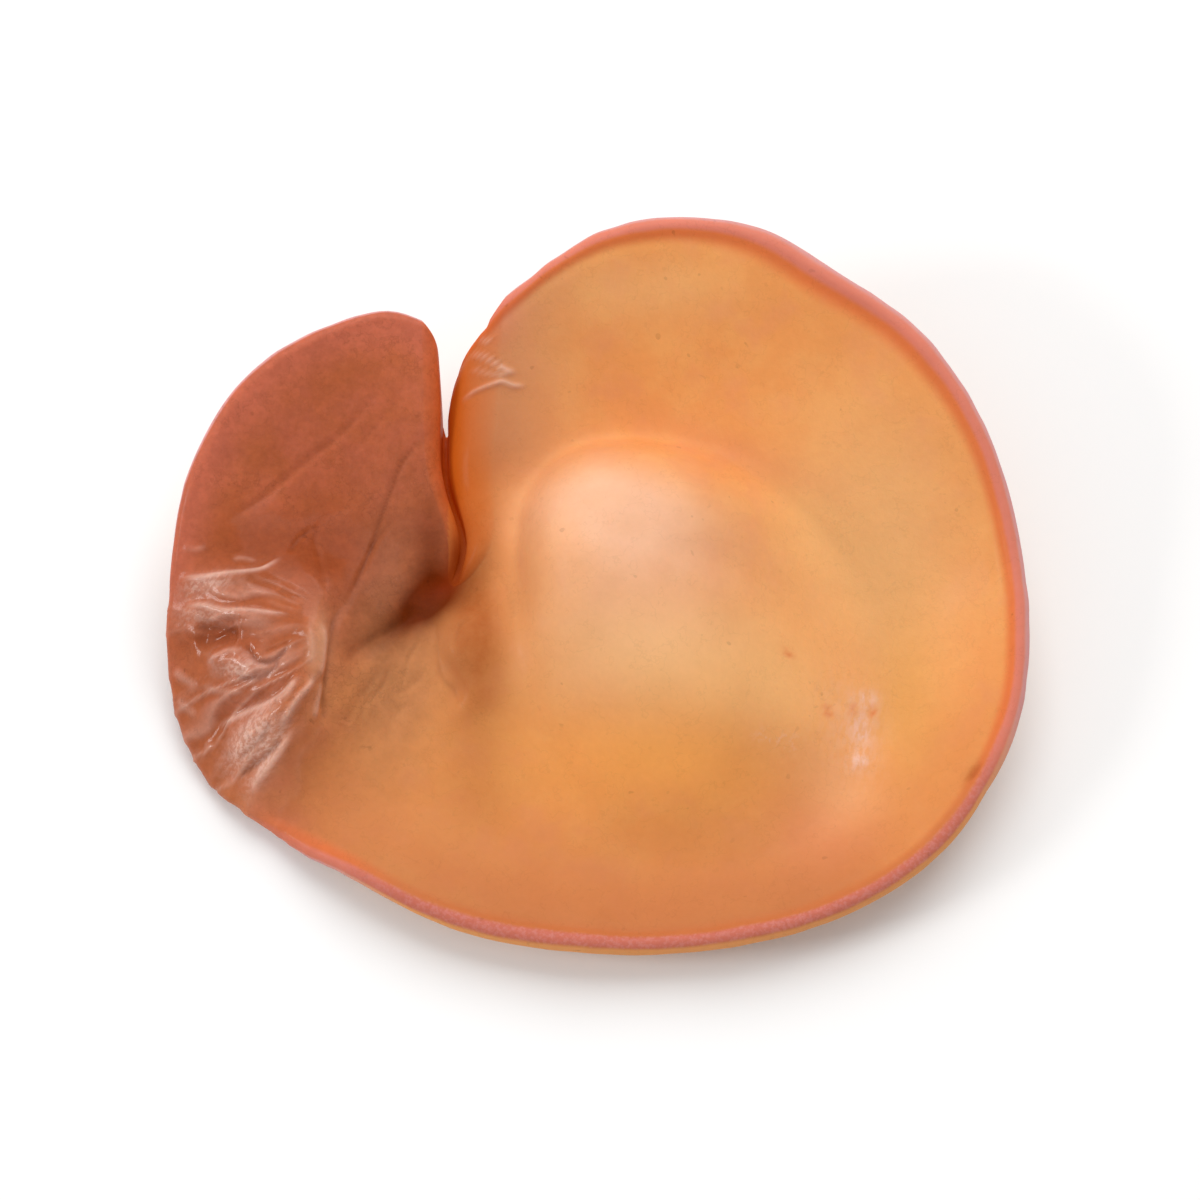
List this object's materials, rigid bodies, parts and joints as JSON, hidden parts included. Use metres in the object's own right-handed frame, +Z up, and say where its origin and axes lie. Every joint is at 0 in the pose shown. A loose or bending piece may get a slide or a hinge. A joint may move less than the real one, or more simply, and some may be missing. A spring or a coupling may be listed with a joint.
{
  "type": "wood ear mushroom",
  "caption": "Fresh wood ear mushroom, a folded sheet of orange-brown jelly-like flesh with a domed lobe, a slit and a flat cut stub, lying with its smooth face up.",
  "frame": {"origin": "centre of the flat cut under the pit, on the plane that the ear rests on", "axes": "+Z up, out of the smooth face; +X across the large lobe, the longest way; +Y along the slit between the lobes"},
  "size_m": [0.0758, 0.0634, 0.0179],
  "materials": {
    "flesh": "moist, softly glossy, translucent jelly-like flesh"
  },
  "bodies": {
    "root": {"fruit_body": "flesh"}
  },
  "joints": []
}
